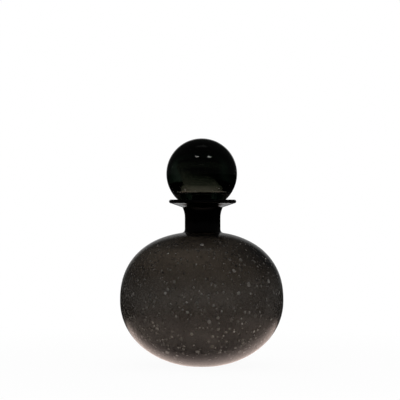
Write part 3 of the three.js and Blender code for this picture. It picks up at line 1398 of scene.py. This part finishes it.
@dataclass(frozen=True)
class Floor:
    """Pale floor that keeps the object's shadow near its foot and fades to plain white.

    Lengths are in metres.

    Attributes:
        half: Half its width.
        paint: Colour of the floor.
        glow: Share of the floor's white that its own light gives near the foot.
        plain: Distances from the foot over which the floor fades to white.
        painted_pool_tone: Colour of the painted pool of light round the foot in reflections.
        painted_pool_levels: Brightness of that painted pool in front of its edge and behind it.
        pool_edge: Bend, lean and place of that edge.
        pool_span: How the stretch over which the pool brightens widens, and its least length.
        pool_end: Distances from the foot over which the pool fades.
        pool_rest: Share of it that is left beyond.
        tone_end: Distances from the foot over which its tone fades.
        strip_level: Brightness of the painted bright strip of floor behind the pool.
        strip_half: Distances from the middle over which the strip fades.
        strip_start: Distances behind the foot over which it sets in.
        strip_end: Distances behind the foot over which it fades to a tenth.
    """

    half: float = 12.0
    paint: Colour = (0.9, 0.9, 0.9)
    glow: float = 0.95
    plain: Band = (0.16, 0.5)
    # Painted pool of light: colour and brightness that the floor gives off round the foot, in
    # reflections only.
    painted_pool_tone: Colour = (1.0, 0.80, 0.72)
    painted_pool_levels: Pair = (0.15, 1.0)
    pool_edge: Triple = (3.3, 0.08, 0.050)
    pool_span: Pair = (5.0, 0.026)
    pool_end: Band = (0.10, 0.235)
    pool_rest: float = 0.02
    tone_end: Band = (0.2, 0.3)
    # Painted bright strip behind the foot, seen only in reflections.
    strip_level: float = 0.8
    strip_half: Band = (0.035, 0.11)
    strip_start: Band = (0.18, 0.32)
    strip_end: Band = (0.45, 1.1)

    def build(self) -> bpy.types.Object:
        """Floor with its material.

        Returns:
            The floor.
        """
        corners = self.half * np.array([[-1, -1, 0], [1, -1, 0], [1, 1, 0], [-1, 1, 0]])
        mesh = bpy.data.meshes.new("floor")
        mesh.from_pydata(corners, [], [[0, 1, 2, 3]])
        floor = bpy.data.objects.new("floor", mesh)
        bpy.context.scene.collection.objects.link(floor)
        mesh.materials.append(self.material())
        return floor

    def material(self) -> bpy.types.Material:
        """Matt paint with its own light to the camera and through glass; a painted pool in
        reflections.

        Returns:
            The new material.
        """
        material = bpy.data.materials.new("pale_floor")
        material.use_nodes = True
        sketch = StageNodes(material.node_tree)
        ray, mirrored = sketch.ray, sketch.mirrored
        place = sketch.add("ShaderNodeTexCoord").outputs["Object"]
        far = sketch.add("ShaderNodeVectorMath", {0: place}, operation="LENGTH").outputs["Value"]
        seen = sketch.largest(ray["Is Camera Ray"], ray["Is Transmission Ray"])
        share = sketch.product(seen, sketch.smooth(far, *self.plain, self.glow, 1.0))
        share = sketch.largest(share, mirrored)
        # Painted pool of light: in reflections the floor gives off a warm pool round the foot and a
        # strip.
        level = sketch.between(mirrored, 1.0, self.pool(sketch, place, far))
        warm = sketch.product(mirrored, sketch.smooth(far, *self.tone_end, 1.0, 0.0))
        tone = sketch.mixed(warm, WHITE, self.painted_pool_tone)
        lit = sketch.add("ShaderNodeBsdfDiffuse", {"Color": (*self.paint, 1.0)})
        glow = sketch.add("ShaderNodeEmission", {"Color": tone, "Strength": level})
        both = sketch.mixed_shader(share, lit, glow)
        sketch.add("ShaderNodeOutputMaterial", {"Surface": both.outputs[0]})
        return material

    def pool(self, sketch: StageNodes, place: Socket, far: Socket) -> Socket:
        """Painted brightness of the floor in reflections: a pool of light round the foot, and a
        strip.

        The pool's bright part begins at a curve, y = bend * x^2 - lean * x - place, and rises over
        a stretch that widens with x^2; it fades away from the foot. The strip runs on straight
        behind, where the underside of the lip mirrors it.

        Args:
            sketch: Node tree of the floor.
            place: Object coordinates.
            far: Distance from the foot.

        Returns:
            Brightness, 1 for white.
        """
        x, y, _ = sketch.axes(place)
        bend, lean, start = self.pool_edge
        square = sketch.product(x, x)
        edge = sketch.math("MULTIPLY_ADD", x, lean, start)
        edge = sketch.math("MULTIPLY_ADD", square, -bend, edge)
        span = sketch.math("MULTIPLY_ADD", square, *self.pool_span)
        behind = sketch.math("DIVIDE", sketch.math("ADD", y, edge), span)
        # Painted pool of light round the foot.
        pool = sketch.product(
            sketch.smooth(behind, 0.0, 1.0, *self.painted_pool_levels),
            sketch.smooth(far, *self.pool_end, 1.0, self.pool_rest),
        )
        # Painted bright strip behind the foot, which the underside of the lip mirrors.
        strip = sketch.product(
            sketch.smooth(sketch.math("ABSOLUTE", x), *self.strip_half, self.strip_level, 0.0),
            sketch.smooth(y, *self.strip_start),
            sketch.smooth(y, *self.strip_end, 1.0, 0.1),
        )
        return sketch.largest(pool, strip)


@dataclass(frozen=True)
class Studio:
    """Room, floor, two small lamps for the stopper, and the camera.

    Attributes:
        lens: Focal length of the camera, in millimetres.
        sensor: Width of its picture, in millimetres.
        camera_place: Where the camera stands, in metres; it looks along +Y.
        lamp_aim: Point that the lamps face, in metres.
        lamp_ways: Directions from that point to the lamps.
        lamp_distance: How far off they hang, in metres.
        lamp_power: Power of each, in watts.
        lamp_size: Width and height of each, in metres.
        bounces: How often a light path may turn, enough for glass behind glass.
        glossy_bounces: How often it may be reflected.
    """

    lens: float = 165.5
    sensor: float = 36.0
    camera_place: Triple = (-0.0015, -1.6, 0.1437)
    lamp_aim: Triple = (0.0, 0.0, 0.16655)
    lamp_ways: tuple[Triple, ...] = ((-0.228, -0.517, 0.8135), (0.368, -0.480, 0.794))
    lamp_distance: float = 1.0
    lamp_power: float = 0.16
    lamp_size: Pair = (0.16, 0.05)
    bounces: int = 32
    glossy_bounces: int = 12

    def hang_lamps(self, lit: list[bpy.types.Object]) -> None:
        """Two small rectangular lamps that light the given pieces alone.

        Args:
            lit: Pieces that the lamps shine on.
        """
        group = bpy.data.collections.new("lamp_lit")
        for piece in lit:
            group.objects.link(piece)
        for number, way in enumerate(self.lamp_ways):
            lamp = bpy.data.lights.new(f"lamp_{number}", "AREA")
            lamp.shape = "RECTANGLE"
            lamp.size, lamp.size_y = self.lamp_size
            lamp.energy = self.lamp_power
            holder = bpy.data.objects.new(f"lamp_{number}", lamp)
            unit = np.array(way) / np.linalg.norm(way)
            level = np.array([1.0, 0.0, 0.0]) - unit[0] * unit
            level = level / np.linalg.norm(level)
            turn = np.stack([level, np.cross(unit, level), unit], axis=1)
            holder.location = np.array(self.lamp_aim) + self.lamp_distance * unit
            holder.rotation_euler = Matrix(turn).to_euler()
            holder.light_linking.receiver_collection = group
            bpy.context.scene.collection.objects.link(holder)

    def place_camera(self) -> None:
        """Level camera at the height of the lip, far off, as in the photograph."""
        lens = bpy.data.cameras.new("camera")
        lens.lens, lens.sensor_width = self.lens, self.sensor
        camera = bpy.data.objects.new("camera", lens)
        camera.location = self.camera_place
        camera.rotation_euler = (math.pi / 2, 0.0, 0.0)
        bpy.context.scene.collection.objects.link(camera)
        bpy.context.scene.camera = camera

    def set_paths(self) -> None:
        """Enough bounces for glass behind glass, and the plain view transform."""
        scene = bpy.context.scene
        scene.view_settings.view_transform = "Standard"
        scene.cycles.max_bounces = self.bounces
        scene.cycles.transmission_bounces = self.bounces
        scene.cycles.glossy_bounces = self.glossy_bounces
        scene.cycles.caustics_reflective = False
        scene.cycles.caustics_refractive = True

    def build(self, stopper_pieces: list[bpy.types.Object]) -> None:
        """Sets up light, floor, lamps, camera and light paths.

        Args:
            stopper_pieces: Pieces that the two lamps light.
        """
        Room().build()
        Floor().build()
        self.hang_lamps(stopper_pieces)
        self.place_camera()
        self.set_paths()
        LOG.info("studio: room, floor, %d lamps and camera", len(self.lamp_ways))


def main() -> None:
    """Builds the bottle, the stopper and the studio in order."""
    logging.basicConfig(level=logging.INFO, format="%(name)s: %(message)s")
    Bottle().build()
    stopper_pieces = Stopper().build()
    Studio().build(stopper_pieces)


if __name__ == "__main__":
    main()
